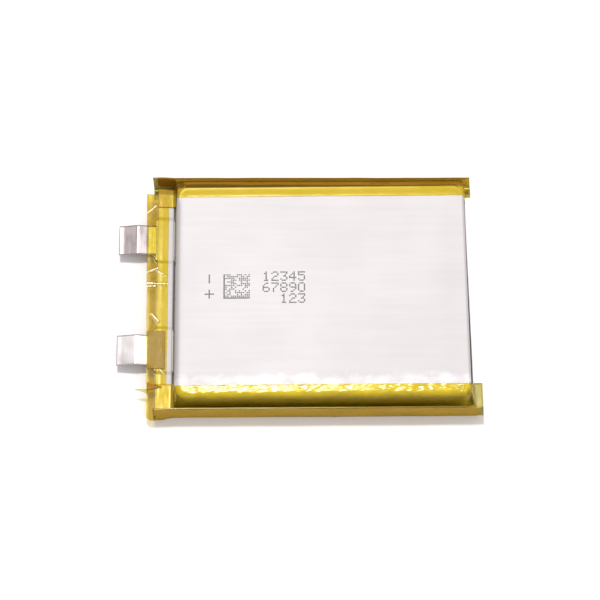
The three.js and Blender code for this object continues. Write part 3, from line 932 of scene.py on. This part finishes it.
SCRAP_TIP_X = -42.0            # the torn end's loose point
SCRAP_EDGE = -39.4             # X from which it hangs free
CRUSHED_TO = -37.6             # X up to which its layers are crushed together
SCRAP_LAYERS = (-35.7, -36.2)  # X to which each layer on the terrace tapers
SCRAP_LAYER_GAP = 0.09


def torn_tip_rows():
    """The loose pointed tip, curled down at its sides and lifting outwards."""
    rows = []
    for t in spread(0.0, 1.0, 14):
        x = mix(-39.1, SCRAP_TIP_X, t)
        middle = mix(-22.8, -22.4, t)
        half_width = mix(0.5, 0.04, t)
        z = seal_height(max(x, -39.7)) + 0.42 + 0.4 * t
        curl = [(s, 0.08 * ripple(x, s, 0.8, 51) - 0.1 * s * s) for s in spread(-1, 1, 5)]
        rows.append([(x, middle + half_width * s, z + rise) for s, rise in curl])
    return rows


def torn_layer_rows(index, point_x):
    """One layer of the torn end on the terrace, which tapers to a point."""
    rows = []
    for t in spread(0.0, 1.0, 12):
        x = mix(-39.3, point_x, t)
        row = []
        for s in spread(-1.0, 1.0, 9):
            y = -21.6 + mix(0.95, 0.08, t) * s
            height = terrace_tape_height(x, y, True) + SCRAP_LAYER_GAP * (index + 1)
            row.append((x, y, height + 0.02 * ripple(x, y, 0.9, 52 + index)))
        rows.append(row)
    return rows


def make_torn_end():
    """A torn, folded-over end of the terrace tape."""
    sheets = Sheets()
    sheets.add(torn_tip_rows())
    for index, point_x in enumerate(SCRAP_LAYERS):
        sheets.add(torn_layer_rows(index, point_x))
    piece = sheets.piece("terrace_tape_torn_end", YELLOW_LOOK, "yellow_film", FILM)
    # Painted shade: the loose tip takes the darker copy of the film.
    tip = (LOOSE_SHADED_LOOK, lambda x, y, z: x < SCRAP_EDGE)
    crushed = (CRUSHED_LOOK, lambda x, y, z: SCRAP_EDGE <= x < CRUSHED_TO)
    more_looks(piece, tip, crushed)
    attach(piece, BODY)


# ---- tabs ----
BEND_REACH = 0.25              # on either side of the crease


def tab_path(tip_x):
    """The middle line of a tab in X and Z, from under the tape, over its crease and down to its tip."""
    (rise_x, rise_z), (crease_x, crease_z) = SEAL_PATH[-2:]
    inner_slope = (crease_z - rise_z) / (rise_x - crease_x)
    outer_slope = -math.tan(BLADE_DROOP)
    path = [(x, seal_height(x) + TAB_LIFT) for x in spread(SEAL_PATH[1][0], CREASE.x + BEND_REACH, 36)]
    steps = 8
    for step in range(1, steps + 1):
        t = step / steps
        x = CREASE.x + BEND_REACH * (1 - 2 * t)
        slope = mix(inner_slope, outer_slope, t - 0.5 / steps)
        path.append((x, path[-1][1] + slope * (path[-1][0] - x)))
    last_x, last_z = path[-1]
    for x in spread(last_x, tip_x, 24)[1:]:
        path.append((x, last_z + outer_slope * (last_x - x)))
    return path


def make_tab(polarity, material, slot, tip_curl, seed):
    """One tab, root and blade in one strip, which bends over the crease as the blade folds."""
    middle = TAB_Y[polarity]
    rows = []
    tip_x = node_box(f"{polarity}_tab_blade")[0].x + 0.3
    for x, z in tab_path(tip_x):
        out = smooth(39.5, 42.5, -x)
        curl = tip_curl * smooth(-1.3 - tip_x, 0.4 - tip_x, -x)
        row = []
        for y in spread(middle - TAB_HALF_WIDTH, middle + TAB_HALF_WIDTH, 22):
            dent = 0.02 * ripple(x, y * 0.3, 2.6, seed) + 0.004 * ripple(x, y, 0.9, seed + 1)
            row.append((x, y, z + dent * out + curl))
        rows.append(row)
    sheets = Sheets()
    sheets.add(rows)
    piece = sheets.piece(f"{polarity}_tab_strip", material, slot, TAB_THICKNESS)
    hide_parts(f"{polarity}_tab_root", f"{polarity}_tab_blade")
    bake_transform(piece)


# ---- inkjet marks ----
DOT_RADIUS = 0.185
DOT_SIDES = 8
DOT_JITTER = 0.02
INK_RIM, INK_MIDDLE = 0.008, 0.014   # a dot's height above the laminate
DOT_PITCH = 0.335              # between the dots of a digit
DIGIT_ADVANCE = 2.0
DIGITS_START = -13.2           # X of each row's first dot
PRINT_ROWS = ((3.44, "12345"), (0.74, "67890"), (-1.96, "  123"))   # middle in Y, and the digits
SIGN_PITCH = 0.31
SIGN_X = -25.4
MINUS_Y, PLUS_Y = 2.88, -0.83
CELL = 0.435                   # pitch of the square's dots
SQUARE_CELLS = 14
SQUARE_CORNER = (-22.25, -2.03)
SQUARE_FILL = 0.55             # share of the cells with a dot
DIGITS = {
    "0": ("01110", "10001", "10001", "10001", "10001", "10001", "01110"),
    "1": ("00100", "01100", "00100", "00100", "00100", "00100", "01110"),
    "2": ("01110", "10001", "00001", "00110", "01000", "10000", "11111"),
    "3": ("11111", "00001", "00010", "00110", "00001", "10001", "01110"),
    "4": ("00010", "00110", "01010", "10010", "11111", "00010", "00010"),
    "5": ("11111", "10000", "11110", "00001", "00001", "10001", "01110"),
    "6": ("00110", "01000", "10000", "11110", "10001", "10001", "01110"),
    "7": ("11111", "00001", "00010", "00100", "01000", "01000", "01000"),
    "8": ("01110", "10001", "10001", "01110", "10001", "10001", "01110"),
    "9": ("01110", "10001", "10001", "01111", "00001", "00010", "01100"),
}


def sign_dots():
    """A minus and a plus, each on the side of the tab that has this polarity."""
    dots = []
    for step in range(-3, 4):
        dots.append((SIGN_X, MINUS_Y + SIGN_PITCH * step))
        dots.append((SIGN_X, PLUS_Y + SIGN_PITCH * step))
        if step:
            dots.append((SIGN_X + SIGN_PITCH * step, PLUS_Y))
    return dots


def square_dots(draw):
    """A square of dots in no order, with a solid line on two sides: it holds no code."""
    left, low = (corner + CELL / 2 for corner in SQUARE_CORNER)
    dots = []
    for step in range(2 * SQUARE_CELLS - 1):
        dots.append((left + CELL / 2 * step, low))
        dots.append((left, low + CELL / 2 * step))
    for row in range(1, SQUARE_CELLS):
        for column in range(1, SQUARE_CELLS):
            if draw.random() < SQUARE_FILL:
                dots.append((left + CELL * column, low + CELL * row))
    return dots


def digit_dots():
    """Three short rows of plain digits."""
    dots = []
    for middle, line in PRINT_ROWS:
        for index, digit in enumerate(line):
            for row, marks in enumerate(DIGITS.get(digit, ())):
                for column, mark in enumerate(marks):
                    if mark == "1":
                        x = DIGITS_START + index * DIGIT_ADVANCE + column * DOT_PITCH
                        dots.append((x, middle + (3 - row) * DOT_PITCH))
    return dots


def make_print():
    """Each dot is a thin round patch of ink that follows the surface."""
    draw = random.Random(7)
    vertices, faces = [], []
    for x, y in sign_dots() + digit_dots() + square_dots(draw):
        x += draw.uniform(-DOT_JITTER, DOT_JITTER)
        y += draw.uniform(-DOT_JITTER, DOT_JITTER)
        first = len(vertices)
        for k in range(DOT_SIDES):
            angle = 2 * math.pi * k / DOT_SIDES
            rim_x, rim_y = x + DOT_RADIUS * math.cos(angle), y + DOT_RADIUS * math.sin(angle)
            vertices.append((rim_x, rim_y, top_height(rim_x, rim_y) + INK_RIM))
        vertices.append((x, y, top_height(x, y) + INK_MIDDLE))
        faces += [(first + k, first + (k + 1) % DOT_SIDES, first + DOT_SIDES) for k in range(DOT_SIDES)]
    piece = new_piece("printed_marks", vertices, faces, INK_LOOK)
    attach(piece, BODY)


# ---- pieces that keep their CAD shape ----
def dress_cad_nodes():
    """Gives each CAD node a material by its slot. The pieces inside the pouch keep their CAD shape."""
    looks = {
        "anode_coating": plain_material("graphite_coating", (0.035, 0.035, 0.037), (0.06, 0.06, 0.063), 0.8),
        "cathode_coating": plain_material("oxide_coating", (0.015, 0.015, 0.017), (0.03, 0.03, 0.033), 0.8),
        "separator_film": plain_material("separator_film", (0.80, 0.80, 0.79), (0.88, 0.88, 0.87), 0.6),
        "green_film": plain_material("green_film_tape", (0.04, 0.22, 0.10), (0.06, 0.30, 0.14), 0.35),
        "copper_foil": foil_material("copper_foil", (0.55, 0.27, 0.15), (0.70, 0.36, 0.22)),
        "aluminium_foil": foil_material("aluminium_foil", (0.72, 0.72, 0.72), (0.84, 0.84, 0.84)),
        "tab_sealant": plain_material("tab_sealant_film", (0.72, 0.70, 0.64), (0.82, 0.80, 0.75), 0.45),
        "laminate": LAMINATE_LOOK,
        "nickel": NICKEL_LOOK,
        "tab_aluminium": ALUMINIUM_LOOK,
        "yellow_film": YELLOW_LOOK,
        "amber_patch": PATCH_LOOK,
    }
    slots = {part["node"]: part["material_slot"] for part in frame["record"]["subparts"]}
    for node, piece in frame["nodes"].items():
        look = looks[slots[node]]
        if not piece.material_slots:
            piece.data.materials.append(look)
        for material_slot in piece.material_slots:
            material_slot.material = look


# ---- studio ----
FLOOR_REACH = 1.5              # the studio's sizes and places are in metres
KEY_PLACE = Vector((-0.06, 0.32, 0.95))
KEY_SIZE = 0.10
KEY_POWER = 7.0


def point_towards(thing, direction):
    """Turns a light or a camera to face along a direction, with its upper side up."""
    thing.rotation_mode = "QUATERNION"
    thing.rotation_quaternion = direction.to_track_quat("-Z", "Y")


def make_floor():
    """A plain pale floor."""
    mesh = bpy.data.meshes.new("floor")
    corners = [(x * FLOOR_REACH, y * FLOOR_REACH, 0) for x, y in ((-1, -1), (1, -1), (1, 1), (-1, 1))]
    mesh.from_pydata(corners, [], [(0, 1, 2, 3)])
    floor = in_scene("floor", mesh)
    n = Nodes("pale_floor")
    shader = n.principled(Roughness=0.9, Specular_IOR_Level=0.1)
    shader.inputs["Base Color"].default_value = (0.78, 0.765, 0.77, 1.0)
    mesh.materials.append(n.finish(shader.outputs["BSDF"]))


def make_lights():
    """One small key light, overhead and a little behind, in a bright surround that is dimmer to the left."""
    key = bpy.data.lights.new("key", "AREA")
    key.shape = "SQUARE"
    key.size = KEY_SIZE
    key.energy = KEY_POWER
    light = in_scene("key", key)
    light.location = KEY_PLACE
    point_towards(light, -KEY_PLACE)

    world = bpy.data.worlds.new("studio")
    world.use_nodes = True
    tree = world.node_tree
    background = tree.nodes["Background"]
    direction = tree.nodes.new("ShaderNodeTexCoord")
    split = tree.nodes.new("ShaderNodeSeparateXYZ")
    side_light = tree.nodes.new("ShaderNodeMapRange")
    side_light.inputs["From Min"].default_value = -1.0
    side_light.inputs["To Min"].default_value = 0.55
    side_light.inputs["To Max"].default_value = 1.35
    tree.links.new(direction.outputs["Generated"], split.inputs["Vector"])
    tree.links.new(split.outputs["X"], side_light.inputs["Value"])
    tree.links.new(side_light.outputs["Result"], background.inputs["Strength"])
    background.inputs["Color"].default_value = (1.0, 0.965, 0.97, 1.0)
    bpy.context.scene.world = world
    bpy.context.scene.view_settings.view_transform = "Standard"


def make_camera():
    """Looks down from in front, with the lens and distance of a product shot."""
    elevation = math.radians(68.0)
    turn = math.radians(-0.5)
    distance = 490.0 * MM
    target = Vector((-4.9 * MM, -1.1 * MM, 3.0 * MM))
    level = math.cos(elevation)
    ahead = Vector((-math.sin(turn) * level, math.cos(turn) * level, -math.sin(elevation)))
    data = bpy.data.cameras.new("camera")
    data.sensor_width = 36.0
    data.lens = 129.4
    data.clip_start, data.clip_end = 0.01, 10.0
    camera = in_scene("camera", data)
    camera.location = target - ahead * distance
    point_towards(camera, ahead)
    bpy.context.scene.camera = camera


make_camera()
make_floor()
make_lights()
dress_cad_nodes()
make_pouch()
make_side_tapes()
make_terrace_tapes()
make_patch()
make_torn_end()
make_tab("negative", NICKEL_LOOK, "nickel", 0.15, 61)
make_tab("positive", ALUMINIUM_LOOK, "tab_aluminium", 0.05, 71)
make_print()
